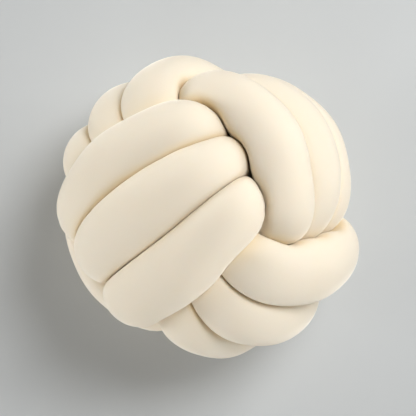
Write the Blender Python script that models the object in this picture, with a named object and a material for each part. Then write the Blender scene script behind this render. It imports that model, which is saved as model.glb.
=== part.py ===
"""Knot cushion: one long padded fabric tube tied into a ball, three turns each way.

Metres, Z up, the cushion resting on the floor plane z = 0 with its box centred on the origin.
Inside the script lengths are in ball radii until the last step.
"""

import math

import bpy
import numpy as np

RADIUS = 0.135          # of the tied ball, crest of a strand to the middle
STRAND_HALF = 0.212     # half thickness of a strand left free, in ball radii
HIDDEN_SCALE = 0.95     # how much the tucked-under stretches are squeezed
CONTACT_GAP = 0.0200    # left between two strands that press together
BEND_SHARE = 0.64       # of a bend's radius that the tube fills on its inside
OWN_LENGTH = 0.55       # of tube to each side of a point that can't press against it
END_LENGTH = 0.13       # rounded end of the tube
FLAT_DEPTH = 0.085      # how far the resting spot is pressed in
STATIONS = 432          # rings of points along the tube
SIDES = 11              # points round each ring
NODE = "knotted_tube"
COLLECTION = "knot_cushion"

# Compass direction and height, in degrees, that two of the three sets of turns face.
FRONT_FACES = (188.0, 60.0)
SIDE_FACES = (40.0, 26.0)

# A quarter of one turn, from the middle of its open stretch at 0 degrees to where it
# passes under the others at 90: distance from the ball's middle, and sideways place.
QUARTER = [
    # degrees, inner lane out, outer lanes out, outer lanes sideways
    (0, 0.81, 0.74, 0.34),
    (15, 0.81, 0.74, 0.33),
    (30, 0.80, 0.75, 0.31),
    (45, 0.69, 0.70, 0.28),
    (60, 0.57, 0.49, 0.25),
    (75, 0.55, 0.32, 0.21),
    (90, 0.55, 0.28, 0.19),
]

# Where each turn runs, in lane widths, at these angles round it.
ANGLES = np.array([-45.0, 0.0, 45.0, 90.0, 135.0, 180.0, 225.0])
LANES = {
    "lower": [
        [1.25, 1.14, 1.02, 1.00, 1.00, 1.08, 1.00],
        [-0.05, -0.06, 0.00, 0.00, 0.00, 0.00, 0.00],
        [-1.05, -1.12, -1.00, -1.00, -1.00, -1.08, -1.00],
    ],
    "front": [
        [1.00, 1.08, 1.00, 1.00, 1.00, 1.08, 1.00],
        [0.00, 0.00, 0.06, 0.00, 0.00, 0.00, 0.00],
        [-1.00, -1.08, -0.95, -1.00, -1.00, -1.08, -1.00],
    ],
    "side": [
        [1.00, 0.93, 1.14, 1.00, 1.00, 1.08, 1.00],
        [0.00, -0.10, 0.14, 0.00, 0.00, 0.00, 0.00],
        [-1.00, -1.05, -0.84, -1.00, -1.00, -1.08, -1.00],
    ],
}
# How far out each turn stands at the same angles, beyond the even ball.
LIFTS = {
    "lower": [
        [0.06, 0.03, 0.00, 0.00, 0.00, 0.00, -0.04],
        [0.05, 0.02, 0.00, 0.00, 0.00, 0.00, 0.00],
        [0.04, -0.01, -0.04, 0.00, 0.00, 0.00, 0.00],
    ],
    "front": [
        [0.02, 0.00, 0.00, 0.00, 0.00, 0.00, 0.00],
        [0.00, 0.00, 0.00, 0.00, 0.00, 0.00, 0.00],
        [0.00, 0.00, 0.00, 0.00, 0.00, 0.00, 0.00],
    ],
    "side": [
        [-0.06, 0.00, -0.07, 0.00, -0.10, -0.08, -0.08],
        [-0.09, 0.00, -0.07, 0.00, -0.08, -0.06, -0.06],
        [-0.05, 0.00, -0.07, 0.00, -0.06, -0.05, -0.05],
    ],
}
CHANGE_OVER = 0.62      # lane place halfway through a change of lane, underneath
# Points of the hidden stretch that joins one set of turns to the next.
JOIN = np.array([(-0.20, -0.36, -0.20), (0.02, -0.25, -0.22), (0.17, -0.04, -0.27)])

# The hidden stretches settle between the turns in many small moves.
SETTLE_ROUNDS = 240
KEEP_APART = 0.270      # least distance between two stretches of the centre line
PUSH_SHARE = 0.12       # of the missing distance made up in one move
STRAIGHTEN = 0.04       # pull towards the neighbouring points
STIFFEN = 0.085         # evening out of the bends


def curve_through(xs, ys, x):
    """Natural cubic spline through (xs, ys), read at x."""
    xs = np.asarray(xs, float)
    ys = np.asarray(ys, float)
    count = len(xs)
    h = np.diff(xs)
    lhs = np.eye(count)
    rhs = np.zeros(ys.shape)
    for i in range(1, count - 1):
        lhs[i, i - 1:i + 2] = h[i - 1], 2 * (h[i - 1] + h[i]), h[i]
        rhs[i] = 6 * ((ys[i + 1] - ys[i]) / h[i] - (ys[i] - ys[i - 1]) / h[i - 1])
    bend = np.linalg.solve(lhs, rhs)
    k = np.clip(np.searchsorted(xs, x) - 1, 0, count - 2)
    shape = (-1,) + (1,) * (ys.ndim - 1)
    t = (x - xs[k]).reshape(shape)
    w = h[k].reshape(shape)
    low = (ys[k] / w - bend[k] * w / 6) * (w - t)
    high = (ys[k + 1] / w - bend[k + 1] * w / 6) * t
    return (bend[k] * (w - t) ** 3 + bend[k + 1] * t ** 3) / (6 * w) + low + high


def quarter_shapes(angle):
    """The quarter-turn table read at any angle, mirrored into the whole turn."""
    rows = np.array(QUARTER)
    mirrored = np.concatenate([-rows[:0:-1, 0], rows[:, 0], 180 - rows[-2::-1, 0]])
    values = np.concatenate([rows[:0:-1, 1:], rows[:, 1:], rows[-2::-1, 1:]])
    folded = np.abs((angle + 90) % 180 - 90)
    return curve_through(mirrored, values, folded).T


def facing(compass, height):
    """Unit vector that points this way, both in degrees."""
    turn, rise = np.radians((compass, height))
    return np.array([np.cos(turn) * np.cos(rise), np.sin(turn) * np.cos(rise), np.sin(rise)])


def turns(lanes, lifts, start, end):
    """Three turns in their own axes (over, under, sideways), with how open to view each point is."""
    xs = [-90.0]
    ys = [1.0]
    for turn, row in enumerate(lanes):
        xs.extend(ANGLES + 360 * turn)
        ys.extend(row)
        if turn < 2:
            xs.append(270.0 + 360 * turn)
            ys.append(CHANGE_OVER if turn == 0 else -CHANGE_OVER)
    xs.append(990.0)
    ys.append(-1.0)
    angle = np.arange(start, end + 1e-6, 2.5)
    lane = curve_through(xs, ys, np.clip(angle, xs[0], xs[-1]))
    phi = np.radians(angle)
    inner_out, outer_out, outer_side = quarter_shapes(angle)
    share = lane * lane
    out = inner_out * (1 - share) + outer_out * share
    side = lane * outer_side
    at = np.concatenate([ANGLES + 360 * turn for turn in range(3)])
    out = out + curve_through(at, np.concatenate(lifts), np.clip(angle, at[0], at[-1]))
    seen = np.clip((np.abs(np.cos(phi)) - 0.62) / 0.16, 0, 1)
    return np.stack([out * np.cos(phi), out * np.sin(phi), side], axis=1), seen


def along(points):
    steps = np.linalg.norm(np.diff(points, axis=0), axis=1)
    return np.concatenate([[0.0], np.cumsum(steps)])


def centre_line(count):
    """The tube's centre line from end to end in even steps, with how open to view each point is."""
    a = facing(*FRONT_FACES)
    b = facing(*SIDE_FACES)
    b -= a * (a @ b)
    b /= np.linalg.norm(b)
    c = -np.cross(a, b)
    order = (("lower", (c, a, b)), ("front", (a, b, c)), ("side", (b, c, a)))
    points = []
    seen = []
    for i, (name, axes) in enumerate(order):
        start = -112.0 if i == 0 else -75.0
        end = 1012.0 if i == 2 else 955.0
        path, open_to_view = turns(LANES[name], LIFTS[name], start, end)
        points.append(path @ np.array(axes))
        seen.append(open_to_view)
        if i < 2:
            points.append(JOIN @ np.array(axes))
            seen.append(np.zeros(len(JOIN)))
    rough = np.concatenate(points)
    length = along(rough)
    even = np.linspace(0, length[-1], 8 * count)
    fine = curve_through(length, rough, even)
    fine_seen = np.interp(even, length, np.concatenate(seen))
    length = along(fine)
    even = np.linspace(0, length[-1], count)
    line = np.stack([np.interp(even, length, fine[:, k]) for k in range(3)], axis=1)
    return line, np.interp(even, length, fine_seen)


def settle(line, seen):
    """Moves the hidden stretches apart and eases the bends, while the seen ones keep their place."""
    count = len(line)
    step = along(line)[-1] / (count - 1)
    index = np.arange(count)
    neighbours = np.abs(index[:, None] - index[None]) * step < OWN_LENGTH
    free = (1 - 0.80 * seen)[:, None]
    held = 0.10 * seen[:, None]
    home = line
    for _ in range(SETTLE_ROUNDS):
        between = line[:, None] - line[None]
        apart = np.linalg.norm(between, axis=2)
        apart[neighbours] = 9.0
        push = np.maximum(0, KEEP_APART - apart) / apart
        move = PUSH_SHARE * (push[:, :, None] * between).sum(axis=1)
        ease = np.zeros(line.shape)
        ease[1:-1] = line[:-2] + line[2:] - 2 * line[1:-1]
        stiff = np.zeros(line.shape)
        stiff[1:-1] = ease[:-2] + ease[2:] - 2 * ease[1:-1]
        move += STRAIGHTEN * ease - STIFFEN * stiff
        line = line + free * move + held * (home - line)
    return line


def restep(line, seen, count):
    """The same line in another number of even steps."""
    length = along(line)
    even = np.linspace(0, length[-1], count)
    return curve_through(length, line, even), np.interp(even, length, seen)


def frames(line):
    """Two cross directions at each point, carried along the line without twisting."""
    ahead = np.gradient(line, axis=0)
    ahead /= np.linalg.norm(ahead, axis=1)[:, None]
    first = np.zeros(line.shape)
    start = np.array([0.0, 0.0, 1.0])
    start -= ahead[0] * (start @ ahead[0])
    first[0] = start / np.linalg.norm(start)
    for i in range(len(line) - 1):
        chord = line[i + 1] - line[i]
        half = first[i] - 2 * (chord @ first[i]) / (chord @ chord) * chord
        mirrored = ahead[i] - 2 * (chord @ ahead[i]) / (chord @ chord) * chord
        turn = ahead[i + 1] - mirrored
        size = turn @ turn
        if size > 1e-14:
            half = half - 2 * (turn @ half) / size * turn
        half = half - ahead[i + 1] * (half @ ahead[i + 1])
        first[i + 1] = half / np.linalg.norm(half)
    return ahead, first, np.cross(ahead, first)


def contact_reach(line, spokes, size, step):
    """How far each spoke runs before it meets the surface shared with another stretch of the tube."""
    fine = 4 * len(line)
    others, other_size = restep(line, size, fine)
    place = np.linspace(0, len(line) - 1, fine)
    reach = np.full(spokes.shape[:2], 9.0)
    for i in range(len(line)):
        mine = line[i] - others
        square = (mine ** 2).sum(axis=1)
        near = (np.abs(place - i) * step > OWN_LENGTH) & (square < 0.56)
        v = mine[near]
        ratio = (other_size[near] / size[i]) ** 2
        lead = (1 - ratio)[None]
        middle = spokes[i] @ v.T
        ends = square[near][None]
        inside = middle ** 2 - lead * ends
        root = np.sqrt(np.maximum(inside, 0))
        for low in (root - middle, -root - middle):
            usable = (inside >= 0) & (low > 1e-9)
            hit = np.where(usable, ends / np.where(usable, low, 1), 9.0)
            reach[i] = np.minimum(reach[i], hit.min(axis=1))
    return reach


def soften(field, rounds):
    """Evens a field out along the tube and round it."""
    for _ in range(rounds):
        padded = np.concatenate([field[:1], field, field[-1:]])
        field = (padded[:-2] + 2 * padded[1:-1] + padded[2:]) / 4
        field = (np.roll(field, 1, axis=1) + 2 * field + np.roll(field, -1, axis=1)) / 4
    return field


def sections(count, sides):
    """Centre points, cross directions and the tube's reach along each, in ball radii."""
    line, seen = centre_line(STATIONS)
    line = settle(line, seen)
    line, seen = restep(line, seen, count)
    step = along(line)[-1] / (count - 1)
    ahead, first, second = frames(line)
    angle = 2 * math.pi * np.arange(sides) / sides
    spokes = first[:, None] * np.cos(angle)[None, :, None]
    spokes = spokes + second[:, None] * np.sin(angle)[None, :, None]
    size = HIDDEN_SCALE + (1 - HIDDEN_SCALE) * seen
    size = soften(size[:, None], 6)[:, 0]
    reach = contact_reach(line, spokes, size, step) - CONTACT_GAP / 2
    bend = np.gradient(ahead, axis=0) / step
    toward = np.einsum("ijk,ik->ij", spokes, bend)
    inner = np.where(toward > 1e-6, BEND_SHARE / np.maximum(toward, 1e-6), 9.0)
    limit = np.minimum(reach, inner)
    full = np.minimum(STRAND_HALF * size[:, None], limit)
    full = np.minimum(soften(full, 2), limit)
    s = step * np.arange(count)
    to_end = np.minimum(s, s[-1] - s)
    rounding = np.clip(1 - to_end / END_LENGTH, 0, 1)
    full = full * np.sqrt(np.maximum(1 - rounding ** 2, 0))[:, None]
    return line, spokes, full


def loft(line, spokes, full):
    """Points and faces of the tube: its rings, joined in order, and a point at each end."""
    count, sides = full.shape
    rings = line[1:-1, None] + spokes[1:-1] * full[1:-1, :, None]
    points = np.concatenate([rings.reshape(-1, 3), line[:1], line[-1:]])
    faces = []
    for i in range(count - 3):
        for j in range(sides):
            k = (j + 1) % sides
            low = i * sides
            faces.append((low + j, low + k, low + sides + k, low + sides + j))
    head = (count - 2) * sides
    last = (count - 3) * sides
    for j in range(sides):
        k = (j + 1) % sides
        faces.append((head, k, j))
        faces.append((head + 1, last + j, last + k))
    return points, faces


def rest_on_floor(points):
    """Full size, with the underside pressed flat and the box centred over the origin."""
    points = points * RADIUS
    floor = points[:, 2].min() + FLAT_DEPTH * RADIUS
    points[:, 2] = np.maximum(points[:, 2] - floor, 0)
    middle = (points.max(axis=0) + points.min(axis=0)) / 2
    points[:, :2] -= middle[:2]
    return points


def fabric():
    material = bpy.data.materials.new("cream_fabric")
    material.use_nodes = True
    shader = material.node_tree.nodes["Principled BSDF"]
    shader.inputs["Base Color"].default_value = (0.82, 0.75, 0.62, 1.0)
    shader.inputs["Roughness"].default_value = 0.90
    return material


def main():
    for item in list(bpy.data.objects):
        bpy.data.objects.remove(item, do_unlink=True)
    collection = bpy.data.collections.new(COLLECTION)
    bpy.context.scene.collection.children.link(collection)
    points, faces = loft(*sections(STATIONS, SIDES))
    points = rest_on_floor(points)
    mesh = bpy.data.meshes.new(NODE)
    mesh.from_pydata(points.tolist(), [], faces)
    mesh.materials.append(fabric())
    mesh.shade_smooth()
    tube = bpy.data.objects.new(NODE, mesh)
    collection.objects.link(tube)


main()
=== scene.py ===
"""Looks of the knot cushion: one long padded tube in short-pile cream fabric, tied into a ball."""

import bpy
import numpy as np
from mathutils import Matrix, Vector


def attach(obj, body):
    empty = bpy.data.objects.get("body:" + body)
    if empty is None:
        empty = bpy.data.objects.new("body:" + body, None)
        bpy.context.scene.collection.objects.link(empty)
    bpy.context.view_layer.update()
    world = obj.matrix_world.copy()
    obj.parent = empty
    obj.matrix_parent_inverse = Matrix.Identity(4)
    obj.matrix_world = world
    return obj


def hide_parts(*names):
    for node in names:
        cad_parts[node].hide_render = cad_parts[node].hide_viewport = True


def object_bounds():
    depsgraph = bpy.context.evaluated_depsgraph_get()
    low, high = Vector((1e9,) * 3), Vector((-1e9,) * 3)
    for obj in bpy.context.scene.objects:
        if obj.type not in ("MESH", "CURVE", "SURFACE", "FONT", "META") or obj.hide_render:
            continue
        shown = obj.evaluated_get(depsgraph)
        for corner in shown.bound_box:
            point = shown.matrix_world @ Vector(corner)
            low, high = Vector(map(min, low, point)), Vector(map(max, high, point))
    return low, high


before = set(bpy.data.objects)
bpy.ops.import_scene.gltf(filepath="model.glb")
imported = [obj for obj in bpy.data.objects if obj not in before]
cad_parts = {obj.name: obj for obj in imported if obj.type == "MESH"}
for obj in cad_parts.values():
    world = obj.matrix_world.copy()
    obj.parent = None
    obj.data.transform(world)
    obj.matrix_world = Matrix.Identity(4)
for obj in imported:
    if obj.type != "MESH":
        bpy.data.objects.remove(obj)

CAD_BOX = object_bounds()

# ---------------------------------------------------------------- sizes of the knot
# Lengths in ball radii unless a name says metres.
BALL_RADIUS_M = 0.135
CREST_PROUD_M = 0.0005       # the topmost strand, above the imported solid's box
STRAND_HALF = 0.212          # half thickness of a strand left free
CREST_FLATNESS = 0.034       # how much wider than deep a strand's open half is
HIDDEN_SCALE = 0.95          # tucked-under stretches, against the open ones
CONTACT_GAP = 0.0040         # between two strands that press together
BEND_SHARE = 0.72            # of a bend's radius that the tube fills on its inside
OWN_LENGTH = 0.55            # of tube to each side of a point that can't press against it
END_LENGTH = 0.13            # rounded end of the tube
TIP_SHARE = 0.02             # what is left of the tube's thickness at its very tip
ROUGH_STATIONS = 432         # steps in which the centre line is settled
FINER = 8                    # times as many steps where the stretches are first joined
FINE_STATIONS = 3000         # steps in the search for contacts
STATIONS = 1500              # rings of the finished tube
SIDES = 56                   # points round each ring
FAR = 9.0                    # stands for no limit, well outside the ball
NEAR_SQUARE = 0.30           # square of a distance at which two stretches can't touch
STRAIGHT = 1e-6              # a bend as slight as this sets no limit
GUIDE_HALF = 0.05            # half thickness of the first sweep, read for its directions only
THICKNESS_ROUNDS = 60        # evening out where the open and hidden thicknesses meet
FORM_ROUNDS = (10, 1)        # evening out of the pressed form, along the tube and round it

# Compass direction and height, in degrees, that two of the three sets of turns face.
FRONT_FACES = (188.0, 60.0)
SIDE_FACES = (40.0, 26.0)

# A quarter of one turn, from the middle of its open stretch at 0 degrees to where it
# passes under the others at 90: distance from the ball's middle, and sideways place.
QUARTER = [
    # degrees, inner lane out, outer lanes out, outer lanes sideways
    (0, 0.81, 0.74, 0.34),
    (15, 0.81, 0.74, 0.33),
    (30, 0.80, 0.75, 0.31),
    (45, 0.69, 0.70, 0.28),
    (60, 0.57, 0.49, 0.25),
    (75, 0.55, 0.32, 0.21),
    (90, 0.55, 0.28, 0.19),
]

# Where each turn runs, in lane widths, at these angles round it.
ANGLES = np.array([-45.0, 0.0, 45.0, 90.0, 135.0, 180.0, 225.0])
LANES = {
    "lower": [
        [1.25, 1.14, 1.02, 1.00, 1.00, 1.08, 1.00],
        [-0.05, -0.06, 0.00, 0.00, 0.00, 0.00, 0.00],
        [-1.05, -1.12, -1.00, -1.00, -1.00, -1.08, -1.00],
    ],
    "front": [
        [1.00, 1.08, 1.00, 1.00, 1.00, 1.08, 1.00],
        [0.00, 0.00, 0.06, 0.00, 0.00, 0.00, 0.00],
        [-1.00, -1.08, -0.95, -1.00, -1.00, -1.08, -1.00],
    ],
    "side": [
        [1.00, 0.93, 1.14, 1.00, 1.00, 1.08, 1.00],
        [0.00, -0.10, 0.14, 0.00, 0.00, 0.00, 0.00],
        [-1.00, -1.05, -0.84, -1.00, -1.00, -1.08, -1.00],
    ],
}
# How far out each turn stands at the same angles, beyond the even ball.
LIFTS = {
    "lower": [
        [0.06, 0.03, 0.00, 0.00, 0.00, 0.00, -0.04],
        [0.05, 0.02, 0.00, 0.00, 0.00, 0.00, 0.00],
        [0.04, -0.01, -0.04, 0.00, 0.00, 0.00, 0.00],
    ],
    "front": [
        [0.02, 0.00, 0.00, 0.00, 0.00, 0.00, 0.00],
        [0.00, 0.00, 0.00, 0.00, 0.00, 0.00, 0.00],
        [0.00, 0.00, 0.00, 0.00, 0.00, 0.00, 0.00],
    ],
    "side": [
        [-0.06, 0.00, -0.07, 0.00, -0.10, -0.08, -0.08],
        [-0.09, 0.00, -0.07, 0.00, -0.08, -0.06, -0.06],
        [-0.05, 0.00, -0.07, 0.00, -0.06, -0.05, -0.05],
    ],
}
CHANGE_OVER = 0.62           # lane place halfway through a change of lane, underneath
TURN_STEP = 2.5              # degrees between two points of a turn
OPEN_FROM = 0.62             # size of the cosine of its angle where a turn comes open to view
OPEN_OVER = 0.16             # and how much more the cosine is where it is fully open
# Angles where a set of turns starts and ends. The tube's own two ends run further under.
TURNS_START = -75.0
TURNS_END = 955.0
FIRST_START = -112.0
LAST_END = 1012.0
# Points of the hidden stretch that joins one set of turns to the next.
JOIN = np.array([(-0.20, -0.36, -0.20), (0.02, -0.25, -0.22), (0.17, -0.04, -0.27)])
# The hidden stretches settle between the turns in many small moves.
SETTLE_ROUNDS = 240
KEEP_APART = 0.270           # two stretches of the centre line push apart when nearer than this
PUSH_SHARE = 0.12            # of the missing distance made up in one move
STRAIGHTEN = 0.04            # pull towards the neighbouring points
STIFFEN = 0.085              # evening out of the bends
SEEN_STEADY = 0.80           # share of a move that an open stretch doesn't follow
SEEN_RETURN = 0.10           # share of its shift that it takes back each round


# ---------------------------------------------------------------- the tube's centre line
def curve_through(xs, ys, x):
    """Natural cubic spline through (xs, ys), read at x."""
    xs = np.asarray(xs, float)
    ys = np.asarray(ys, float)
    count = len(xs)
    h = np.diff(xs)
    lhs = np.eye(count)
    rhs = np.zeros(ys.shape)
    for i in range(1, count - 1):
        lhs[i, i - 1:i + 2] = h[i - 1], 2 * (h[i - 1] + h[i]), h[i]
        rhs[i] = 6 * ((ys[i + 1] - ys[i]) / h[i] - (ys[i] - ys[i - 1]) / h[i - 1])
    bend = np.linalg.solve(lhs, rhs)
    k = np.clip(np.searchsorted(xs, x) - 1, 0, count - 2)
    shape = (-1,) + (1,) * (ys.ndim - 1)
    t = (x - xs[k]).reshape(shape)
    w = h[k].reshape(shape)
    low = (ys[k] / w - bend[k] * w / 6) * (w - t)
    high = (ys[k + 1] / w - bend[k + 1] * w / 6) * t
    return (bend[k] * (w - t) ** 3 + bend[k + 1] * t ** 3) / (6 * w) + low + high


def quarter_shapes(angle):
    """The quarter-turn table read at any angle, mirrored into the whole turn."""
    rows = np.array(QUARTER)
    mirrored = np.concatenate([-rows[:0:-1, 0], rows[:, 0], 180 - rows[-2::-1, 0]])
    values = np.concatenate([rows[:0:-1, 1:], rows[:, 1:], rows[-2::-1, 1:]])
    folded = np.abs((angle + 90) % 180 - 90)
    return curve_through(mirrored, values, folded).T


def facing(compass, height):
    """Unit vector that points this way, both in degrees."""
    turn, rise = np.radians((compass, height))
    return np.array([np.cos(turn) * np.cos(rise), np.sin(turn) * np.cos(rise), np.sin(rise)])


def turns(lanes, lifts, start, end):
    """Three turns in their own axes (over, under, sideways), with how open to view each point is."""
    xs = [-90.0]
    ys = [1.0]
    for turn, row in enumerate(lanes):
        xs.extend(ANGLES + 360 * turn)
        ys.extend(row)
        if turn < 2:
            xs.append(270.0 + 360 * turn)
            ys.append(CHANGE_OVER if turn == 0 else -CHANGE_OVER)
    xs.append(990.0)
    ys.append(-1.0)
    angle = np.arange(start, end + 1e-6, TURN_STEP)
    lane = curve_through(xs, ys, np.clip(angle, xs[0], xs[-1]))
    phi = np.radians(angle)
    inner_out, outer_out, outer_side = quarter_shapes(angle)
    share = lane * lane
    out = inner_out * (1 - share) + outer_out * share
    side = lane * outer_side
    at = np.concatenate([ANGLES + 360 * turn for turn in range(3)])
    out = out + curve_through(at, np.concatenate(lifts), np.clip(angle, at[0], at[-1]))
    seen = np.clip((np.abs(np.cos(phi)) - OPEN_FROM) / OPEN_OVER, 0, 1)
    return np.stack([out * np.cos(phi), out * np.sin(phi), side], axis=1), seen


def along(points):
    """Length of the line up to each of its points."""
    steps = np.linalg.norm(np.diff(points, axis=0), axis=1)
    return np.concatenate([[0.0], np.cumsum(steps)])


def centre_line(count):
    """The tube's centre line from end to end in even steps, with how open to view each point is."""
    a = facing(*FRONT_FACES)
    b = facing(*SIDE_FACES)
    b -= a * (a @ b)
    b /= np.linalg.norm(b)
    c = -np.cross(a, b)
    order = (("lower", (c, a, b)), ("front", (a, b, c)), ("side", (b, c, a)))
    points = []
    seen = []
    for i, (name, axes) in enumerate(order):
        start = FIRST_START if i == 0 else TURNS_START
        end = LAST_END if i == 2 else TURNS_END
        path, open_to_view = turns(LANES[name], LIFTS[name], start, end)
        points.append(path @ np.array(axes))
        seen.append(open_to_view)
        if i < 2:
            points.append(JOIN @ np.array(axes))
            seen.append(np.zeros(len(JOIN)))
    rough = np.concatenate(points)
    length = along(rough)
    even = np.linspace(0, length[-1], FINER * count)
    fine = curve_through(length, rough, even)
    fine_seen = np.interp(even, length, np.concatenate(seen))
    length = along(fine)
    even = np.linspace(0, length[-1], count)
    line = np.stack([np.interp(even, length, fine[:, k]) for k in range(3)], axis=1)
    return line, np.interp(even, length, fine_seen)


def settle(line, seen):
    """Moves the hidden stretches apart and eases the bends, while the seen ones keep their place."""
    count = len(line)
    step = along(line)[-1] / (count - 1)
    index = np.arange(count)
    neighbours = np.abs(index[:, None] - index[None]) * step < OWN_LENGTH
    free = (1 - SEEN_STEADY * seen)[:, None]
    held = SEEN_RETURN * seen[:, None]
    home = line
    for _ in range(SETTLE_ROUNDS):
        between = line[:, None] - line[None]
        apart = np.linalg.norm(between, axis=2)
        apart[neighbours] = FAR
        push = np.maximum(0, KEEP_APART - apart) / apart
        move = PUSH_SHARE * (push[:, :, None] * between).sum(axis=1)
        ease = np.zeros(line.shape)
        ease[1:-1] = line[:-2] + line[2:] - 2 * line[1:-1]
        stiff = np.zeros(line.shape)
        stiff[1:-1] = ease[:-2] + ease[2:] - 2 * ease[1:-1]
        move += STRAIGHTEN * ease - STIFFEN * stiff
        line = line + free * move + held * (home - line)
    return line


def restep(line, seen, count):
    """The same line in another number of even steps."""
    length = along(line)
    even = np.linspace(0, length[-1], count)
    return curve_through(length, line, even), np.interp(even, length, seen)


def soften(field, rounds_along, rounds_round):
    """Evens a field out along the tube and round it."""
    for _ in range(rounds_along):
        padded = np.concatenate([field[:1], field, field[-1:]])
        field = (padded[:-2] + 2 * padded[1:-1] + padded[2:]) / 4
    for _ in range(rounds_round):
        field = (np.roll(field, 1, axis=1) + 2 * field + np.roll(field, -1, axis=1)) / 4
    return field


# ---------------------------------------------------------------- the swept tube
def sweep_tree(material):
    """Geometry Nodes: a round tube of a set number of sides that follows the curve."""
    tree = bpy.data.node_groups.new("tube_sweep", "GeometryNodeTree")
    face = tree.interface
    face.new_socket("Centre Line", in_out="INPUT", socket_type="NodeSocketGeometry")
    sides = face.new_socket("Sides", in_out="INPUT", socket_type="NodeSocketInt")
    half = face.new_socket("Half Thickness", in_out="INPUT", socket_type="NodeSocketFloat")
    face.new_socket("Tube", in_out="OUTPUT", socket_type="NodeSocketGeometry")
    nodes, links = tree.nodes, tree.links
    start = nodes.new("NodeGroupInput")
    ring = nodes.new("GeometryNodeCurvePrimitiveCircle")
    sweep = nodes.new("GeometryNodeCurveToMesh")
    sweep.inputs["Fill Caps"].default_value = True
    smooth = nodes.new("GeometryNodeSetShadeSmooth")
    real = nodes.new("GeometryNodeRealizeInstances")
    cloth = nodes.new("GeometryNodeSetMaterial")
    cloth.inputs["Material"].default_value = material
    end = nodes.new("NodeGroupOutput")
    links.new(start.outputs["Sides"], ring.inputs["Resolution"])
    links.new(start.outputs["Half Thickness"], ring.inputs["Radius"])
    links.new(start.outputs["Centre Line"], sweep.inputs["Curve"])
    links.new(ring.outputs["Curve"], sweep.inputs["Profile Curve"])
    links.new(sweep.outputs["Mesh"], smooth.inputs["Geometry"])
    links.new(smooth.outputs["Geometry"], real.inputs["Geometry"])
    links.new(real.outputs["Geometry"], cloth.inputs["Geometry"])
    links.new(cloth.outputs["Geometry"], end.inputs["Tube"])
    return tree, sides.identifier, half.identifier


def swept_tube(line, material):
    """The round tube along the line as a plain mesh object, in ball radii."""
    curve = bpy.data.curves.new("centre_line", "CURVE")
    curve.dimensions = "3D"
    curve.twist_mode = "MINIMUM"
    spline = curve.splines.new("POLY")
    spline.points.add(len(line) - 1)
    spline.points.foreach_set("co", np.c_[line, np.ones(len(line))].ravel())
    guide = bpy.data.objects.new("centre_line", curve)
    bpy.context.scene.collection.objects.link(guide)
    modifier = guide.modifiers.new("tube_sweep", "NODES")
    tree, sides_id, half_id = sweep_tree(material)
    modifier.node_group = tree
    modifier[sides_id] = SIDES
    modifier[half_id] = GUIDE_HALF
    bpy.context.view_layer.update()
    evaluated = guide.evaluated_get(bpy.context.evaluated_depsgraph_get())
    mesh = bpy.data.meshes.new_from_object(evaluated)
    mesh.name = "cushion_tube"
    bpy.data.objects.remove(guide, do_unlink=True)
    bpy.data.curves.remove(curve)
    tube = bpy.data.objects.new("cushion_tube", mesh)
    bpy.context.scene.collection.objects.link(tube)
    return tube


def read_points(mesh):
    flat = np.empty(len(mesh.vertices) * 3, np.float32)
    mesh.vertices.foreach_get("co", flat)
    return flat.reshape(-1, 3).astype(float)


def write_points(mesh, points):
    mesh.vertices.foreach_set("co", points.astype(np.float32).ravel())
    mesh.update()


def contact_reach(line, spokes, size, step):
    """How far each spoke runs before it meets the surface shared with another stretch of the tube."""
    others, other_size = restep(line, size, FINE_STATIONS)
    place = np.linspace(0, len(line) - 1, FINE_STATIONS)
    reach = np.full(spokes.shape[:2], FAR)
    for i in range(len(line)):
        mine = line[i] - others
        square = (mine ** 2).sum(axis=1)
        near = (np.abs(place - i) * step > OWN_LENGTH) & (square < NEAR_SQUARE)
        v = mine[near]
        ratio = (other_size[near] / size[i]) ** 2
        lead = (1 - ratio)[None]
        middle = spokes[i] @ v.T
        ends = square[near][None]
        inside = middle ** 2 - lead * ends
        root = np.sqrt(np.maximum(inside, 0))
        for low in (root - middle, -root - middle):
            usable = (inside >= 0) & (low > 1e-9)
            hit = np.where(usable, ends / np.where(usable, low, 1), FAR)
            reach[i] = np.minimum(reach[i], hit.min(axis=1))
    return reach


def press_together(tube, line, seen):
    """How far the tube reaches along each spoke when its strands press together, and the most it can."""
    step = along(line)[-1] / (len(line) - 1)
    rings = read_points(tube.data)[:len(line) * SIDES].reshape(len(line), SIDES, 3)
    spokes = rings - line[:, None]
    spokes /= np.linalg.norm(spokes, axis=2)[:, :, None]
    ahead = np.gradient(line, axis=0)
    ahead /= np.linalg.norm(ahead, axis=1)[:, None]
    size = HIDDEN_SCALE + (1 - HIDDEN_SCALE) * seen
    size = soften(size[:, None], THICKNESS_ROUNDS, 0)[:, 0]
    outward = line - ahead * np.einsum("ik,ik->i", line, ahead)[:, None]
    outward /= np.linalg.norm(outward, axis=1)[:, None]
    crest = np.maximum(np.einsum("ijk,ik->ij", spokes, outward), 0)
    wide = STRAND_HALF + CREST_FLATNESS
    free = np.sqrt(wide ** 2 - CREST_FLATNESS ** 2 * (1 - crest ** 2)) - CREST_FLATNESS * crest
    reach = contact_reach(line, spokes, size, step) - CONTACT_GAP / 2
    bend = np.gradient(ahead, axis=0) / step
    toward = np.einsum("ijk,ik->ij", spokes, bend)
    inner = np.where(toward > STRAIGHT, BEND_SHARE / np.maximum(toward, STRAIGHT), FAR)
    limit = np.minimum(reach, inner)
    full = np.minimum(free * size[:, None], limit)
    return spokes, np.minimum(soften(full, *FORM_ROUNDS), limit), limit


def round_ends(line, full):
    """Closes the two ends of the tube with a rounded tip."""
    step = along(line)[-1] / (len(line) - 1)
    s = step * np.arange(len(line))
    to_end = np.minimum(s, s[-1] - s)
    rounding = np.clip(1 - to_end / END_LENGTH, 0, 1)
    return full * np.sqrt(np.maximum(1 - rounding ** 2, TIP_SHARE ** 2))[:, None]


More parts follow.
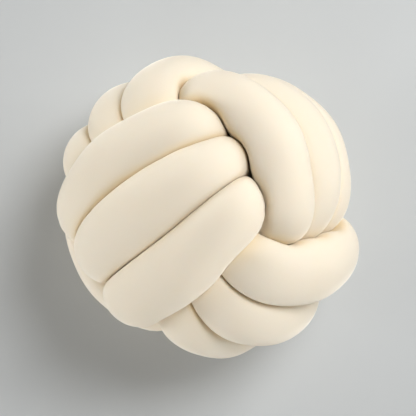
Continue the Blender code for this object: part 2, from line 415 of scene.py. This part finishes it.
# ---------------------------------------------------------------- the stuffed cover
SIM_STRIDE = 2               # rings and points of the finished tube for one of the cover
SIM_START = 0.97             # the cover starts smaller and the filling swells it
SIM_FRAMES = 20
SWELL_FROM = 0.2             # least share of the average reach to measure swelling against
SWELL_ROUNDS = (2, 1)        # evening out of the swelling, along the tube and round it
MOST_SWELL = 0.05            # share of its reach that a point may move


def grid_mesh(name, rings):
    """A closed tube through the rings."""
    count, sides = rings.shape[:2]
    faces = []
    for i in range(count - 1):
        for j in range(sides):
            k = (j + 1) % sides
            faces.append((i * sides + j, i * sides + k, (i + 1) * sides + k, (i + 1) * sides + j))
    faces.append(tuple(reversed(range(sides))))
    faces.append(tuple(range((count - 1) * sides, count * sides)))
    mesh = bpy.data.meshes.new(name)
    mesh.from_pydata(rings.reshape(-1, 3).tolist(), [], faces)
    return mesh


def stuff_cover(line, spokes, full):
    """Swells a cover by cloth simulation; returns how much further each spoke then reaches."""
    few_line = line[::SIM_STRIDE] * BALL_RADIUS_M
    few_spokes = spokes[::SIM_STRIDE, ::SIM_STRIDE]
    start = SIM_START * full[::SIM_STRIDE, ::SIM_STRIDE] * BALL_RADIUS_M
    rings = few_line[:, None] + few_spokes * start[:, :, None]
    cover = bpy.data.objects.new("cover_in_work", grid_mesh("cover_in_work", rings))
    scene = bpy.context.scene
    scene.collection.objects.link(cover)
    cloth = cover.modifiers.new("cover_cloth", "CLOTH")
    cloth.settings.quality = 5
    cloth.settings.mass = 0.3
    cloth.settings.tension_stiffness = 15.0
    cloth.settings.compression_stiffness = 15.0
    cloth.settings.shear_stiffness = 5.0
    cloth.settings.bending_stiffness = 0.5
    cloth.settings.use_pressure = True
    cloth.settings.uniform_pressure_force = 4.0
    cloth.settings.effector_weights.gravity = 0.0
    cloth.point_cache.frame_start = 1
    cloth.point_cache.frame_end = SIM_FRAMES
    for frame_number in range(1, SIM_FRAMES + 1):
        scene.frame_set(frame_number)
    evaluated = cover.evaluated_get(bpy.context.evaluated_depsgraph_get())
    swollen = read_points(evaluated.data).reshape(rings.shape)
    mesh = cover.data
    bpy.data.objects.remove(cover, do_unlink=True)
    bpy.data.meshes.remove(mesh)
    scene.frame_set(1)
    reached = np.einsum("ijk,ijk->ij", swollen - few_line[:, None], few_spokes)
    swell = reached / np.maximum(start, SWELL_FROM * start.mean())
    swell = swell / np.median(swell)
    swell = np.clip(soften(swell, *SWELL_ROUNDS), 1 - MOST_SWELL, 1 + MOST_SWELL)
    places = np.arange(len(line)) / SIM_STRIDE
    swell = curve_through(np.arange(len(swell)), swell, places)
    nearest = np.arange(SIDES) / SIM_STRIDE
    low = nearest.astype(int)
    high = (low + 1) % swell.shape[1]
    part = nearest - low
    return swell[:, low] * (1 - part) + swell[:, high] * part


def lay_down(points):
    """Real size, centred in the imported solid's box, its underside pressed flat; also the ball's middle."""
    points = points * BALL_RADIUS_M
    flat = points.reshape(-1, 3)
    low, high = np.array(CAD_BOX)
    middle = (low + high) / 2 - (flat.min(axis=0) + flat.max(axis=0)) / 2
    middle[2] = high[2] - flat[:, 2].max() + CREST_PROUD_M
    points = points + middle
    points[..., 2] = np.maximum(points[..., 2], 0.0)
    return points, middle


# ---------------------------------------------------------------- shader writing
# Sockets of a colour Mix node that share their names with others, so they go by number.
MIX_FACTOR = 0
MIX_FIRST = 6
MIX_SECOND = 7
MIX_COLOUR = 2
ATTRIBUTE_NUMBER = 2         # output of an Attribute node that gives a plain number


class Value:
    """A shader socket that takes part in plain arithmetic."""

    def __init__(self, looks, socket):
        self.looks = looks
        self.socket = socket

    def maths(self, operation, first, second):
        return self.looks.node("ShaderNodeMath", {"operation": operation}, {0: first, 1: second})

    def __add__(self, other):
        return self.maths("ADD", self, other)

    __radd__ = __add__

    def __mul__(self, other):
        return self.maths("MULTIPLY", self, other)

    __rmul__ = __mul__

    def __sub__(self, other):
        return self.maths("SUBTRACT", self, other)

    def __rsub__(self, other):
        return self.maths("SUBTRACT", other, self)


class Looks:
    """One material and the means to add nodes to it."""

    def __init__(self, name):
        self.material = bpy.data.materials.new(name)
        self.material.use_nodes = True
        self.tree = self.material.node_tree
        self.shader = self.tree.nodes["Principled BSDF"]

    def feed(self, socket, value):
        if isinstance(value, Value):
            self.tree.links.new(value.socket, socket)
        else:
            socket.default_value = value

    def node(self, kind, settings=None, inputs=None, output=0):
        made = self.tree.nodes.new(kind)
        for name, value in (settings or {}).items():
            setattr(made, name, value)
        for name, value in (inputs or {}).items():
            self.feed(made.inputs[name], value)
        return Value(self, made.outputs[output])

    def mix(self, factor, first, second):
        colours = {MIX_FACTOR: factor, MIX_FIRST: first, MIX_SECOND: second}
        return self.node("ShaderNodeMix", {"data_type": "RGBA"}, colours, MIX_COLOUR)

    def set(self, **sockets):
        for name, value in sockets.items():
            self.feed(self.shader.inputs[name.replace("_", " ")], value)


CREAM = (0.870, 0.780, 0.635, 1.0)
CREAM_PALE = (0.890, 0.808, 0.680, 1.0)
# painted shade: darker warm cream for the hollows of the nap
CREAM_NAP_SHADE = (0.830, 0.705, 0.520, 1.0)
# painted shade: the darker golden cream laid into the creases between pressed strands
CREASE_SHADE_CREAM = (0.820, 0.660, 0.400, 1.0)
NAP_SHADE_SHARE = 0.12            # how far the hollows of the nap turn to a darker warm cream, as painted shade
FLOOR_GREY = (0.665, 0.690, 0.702, 1.0)
FLOOR_PALE = (0.690, 0.715, 0.727, 1.0)


def cream_fabric():
    """Short-pile cream jersey: faint cloudy colour, a fine nap and a pale sheen, with painted shade of
    darker warm cream in the nap's hollows and in the creases.
    """
    looks = Looks("cream_fabric")
    place = looks.node("ShaderNodeTexCoord", output="Object")
    clouds = looks.node(
        "ShaderNodeTexNoise", {}, {"Vector": place, "Scale": 14.0, "Detail": 2.0, "Roughness": 0.5}
    )
    nap = looks.node(
        "ShaderNodeTexNoise", {}, {"Vector": place, "Scale": 900.0, "Detail": 3.0, "Roughness": 0.6}
    )
    brushed = looks.node(
        "ShaderNodeTexNoise", {}, {"Vector": place, "Scale": 160.0, "Detail": 2.0, "Roughness": 0.5}
    )
    colour = looks.mix(clouds, CREAM, CREAM_PALE)
    # painted shade: the nap's hollows turn darker and warmer
    colour = looks.mix((1 - nap) * NAP_SHADE_SHARE, colour, CREAM_NAP_SHADE)
    # painted shade: where strands press together the colour turns to the darker golden cream
    crease_shade_lookup = {"attribute_name": "crease_shade"}
    crease_shade = looks.node("ShaderNodeAttribute", crease_shade_lookup, output=ATTRIBUTE_NUMBER)
    colour = looks.mix(crease_shade, colour, CREASE_SHADE_CREAM)
    height = nap * 0.6 + brushed * 0.4
    bump = looks.node(
        "ShaderNodeBump", {}, {"Strength": 0.10, "Distance": 0.0006, "Height": height}
    )
    looks.set(Base_Color=colour, Roughness=0.86 + 0.08 * brushed, Normal=bump)
    looks.set(Sheen_Weight=0.70, Sheen_Roughness=0.40, Sheen_Tint=(1.0, 0.95, 0.86, 1.0))
    looks.set(Subsurface_Weight=0.25, Subsurface_Radius=(1.0, 0.8, 0.6), Subsurface_Scale=0.012)
    looks.set(Specular_IOR_Level=0.25)
    return looks.material


def floor_grey():
    """Matt light grey, very slightly cloudy."""
    looks = Looks("floor_grey")
    place = looks.node("ShaderNodeTexCoord", output="Object")
    grain = looks.node(
        "ShaderNodeTexNoise", {}, {"Vector": place, "Scale": 3.0, "Detail": 2.0}
    )
    colour = looks.mix(grain, FLOOR_GREY, FLOOR_PALE)
    looks.set(Base_Color=colour, Roughness=0.95, Specular_IOR_Level=0.1)
    return looks.material


# ---------------------------------------------------------------- camera, floor and light
CAMERA_HEIGHT = 7.0          # above the ball's middle
LENS_MM = 89.93
SENSOR_MM = 36.0
LENS_SHIFT = (0.0043, -0.0022)  # to the right and up, in widths of the view


def look_from_above(ball_middle):
    """A long lens straight above the ball."""
    camera_data = bpy.data.cameras.new("view_from_above")
    camera_data.sensor_width = SENSOR_MM
    camera_data.lens = LENS_MM
    camera_data.shift_x, camera_data.shift_y = LENS_SHIFT
    camera_data.clip_start = 0.01
    camera_data.clip_end = 50.0
    camera = bpy.data.objects.new("view_from_above", camera_data)
    camera.location = ball_middle + np.array([0, 0, CAMERA_HEIGHT * BALL_RADIUS_M])
    bpy.context.scene.collection.objects.link(camera)
    bpy.context.scene.camera = camera


# Each lamp's compass direction and height in degrees, watts, and width in metres.
LAMPS = {
    "key_lamp": (45.0, 60.0, 13.4, 0.6),
    "second_key_lamp": (25.0, 40.0, 4.0, 0.6),
    "left_lamp": (180.0, 7.0, 6.6, 0.4),
    "lower_lamp": (255.0, 7.0, 4.4, 0.4),
}
LAMP_DISTANCE_M = 1.5
DAYLIGHT = (1.0, 0.995, 0.985)
# The pale wall all round the floor: how bright it is, how high it reaches, and the air above.
WALL_COLOUR = (1.0, 0.985, 0.950, 1.0)
WALL_LIGHT = 2.90
WALL_TOP = 0.36              # as the sine of its height seen from the cushion
AIR_LIGHT = 0.05
FLOOR_REACH_M = 30.0
FLOOR_DROP_M = 0.0005        # under the cushion's underside


def lamp(name, compass, height, watts, width, aim):
    """A round lamp that looks at the aim from this direction."""
    light = bpy.data.lights.new(name, "AREA")
    light.shape = "DISK"
    light.energy = watts
    light.size = width
    light.color = DAYLIGHT
    thing = bpy.data.objects.new(name, light)
    thing.location = Vector(aim) + LAMP_DISTANCE_M * Vector(facing(compass, height))
    thing.rotation_euler = (Vector(aim) - thing.location).to_track_quat("-Z", "Y").to_euler()
    bpy.context.scene.collection.objects.link(thing)


def pale_wall():
    """Even light from low down all round, and little from above."""
    world = bpy.data.worlds.new("pale_wall")
    world.use_nodes = True
    nodes, links = world.node_tree.nodes, world.node_tree.links
    way = nodes.new("ShaderNodeTexCoord")
    parts = nodes.new("ShaderNodeSeparateXYZ")
    fade = nodes.new("ShaderNodeMapRange")
    fade.interpolation_type = "SMOOTHSTEP"
    fade.inputs["From Min"].default_value = 0.0
    fade.inputs["From Max"].default_value = WALL_TOP
    fade.inputs["To Min"].default_value = WALL_LIGHT
    fade.inputs["To Max"].default_value = AIR_LIGHT
    air = nodes["Background"]
    air.inputs["Color"].default_value = WALL_COLOUR
    links.new(way.outputs["Generated"], parts.inputs["Vector"])
    links.new(parts.outputs["Z"], fade.inputs["Value"])
    links.new(fade.outputs["Result"], air.inputs["Strength"])
    return world


def studio(ball_middle):
    """The floor, the pale wall and the lamps."""
    floor_mesh = bpy.data.meshes.new("floor")
    corners = [(-1, -1), (1, -1), (1, 1), (-1, 1)]
    points = [(x * FLOOR_REACH_M, y * FLOOR_REACH_M, -FLOOR_DROP_M) for x, y in corners]
    floor_mesh.from_pydata(points, [], [(0, 1, 2, 3)])
    floor_mesh.materials.append(floor_grey())
    floor = bpy.data.objects.new("floor", floor_mesh)
    bpy.context.scene.collection.objects.link(floor)
    bpy.context.scene.world = pale_wall()
    for name, (compass, height, watts, width) in LAMPS.items():
        lamp(name, compass, height, watts, width, ball_middle)
    bpy.context.scene.view_settings.view_transform = "Standard"


# ---------------------------------------------------------------- making the cushion
CREASE_SHADE_FROM = 0.985          # of the most it can reach, where a point lies in a crease and gets painted shade
CREASE_SHADE_ROUNDS = (4, 2)       # evening out of the painted crease shade, along the tube and round it

fabric = cream_fabric()
rough_line, rough_seen = centre_line(ROUGH_STATIONS)
rough_line = settle(rough_line, rough_seen)
tube_line, tube_seen = restep(rough_line, rough_seen, STATIONS)
cushion = swept_tube(tube_line, fabric)
spokes, reach, most_reach = press_together(cushion, tube_line, tube_seen)
reach = np.minimum(reach * stuff_cover(tube_line, spokes, reach), most_reach)
# painted shade: marks the points pressed against another strand, for the darker crease colour
crease_shade = soften((reach > CREASE_SHADE_FROM * most_reach).astype(float), *CREASE_SHADE_ROUNDS)
reach = round_ends(tube_line, reach)
rings, ball_middle = lay_down(tube_line[:, None] + spokes * reach[:, :, None])
write_points(cushion.data, rings.reshape(-1, 3))
mark = cushion.data.attributes.new("crease_shade", "FLOAT", "POINT")
mark.data.foreach_set("value", crease_shade.astype(np.float32).ravel())

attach(cushion, "root")
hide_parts("knotted_tube")

look_from_above(ball_middle)
studio(ball_middle)
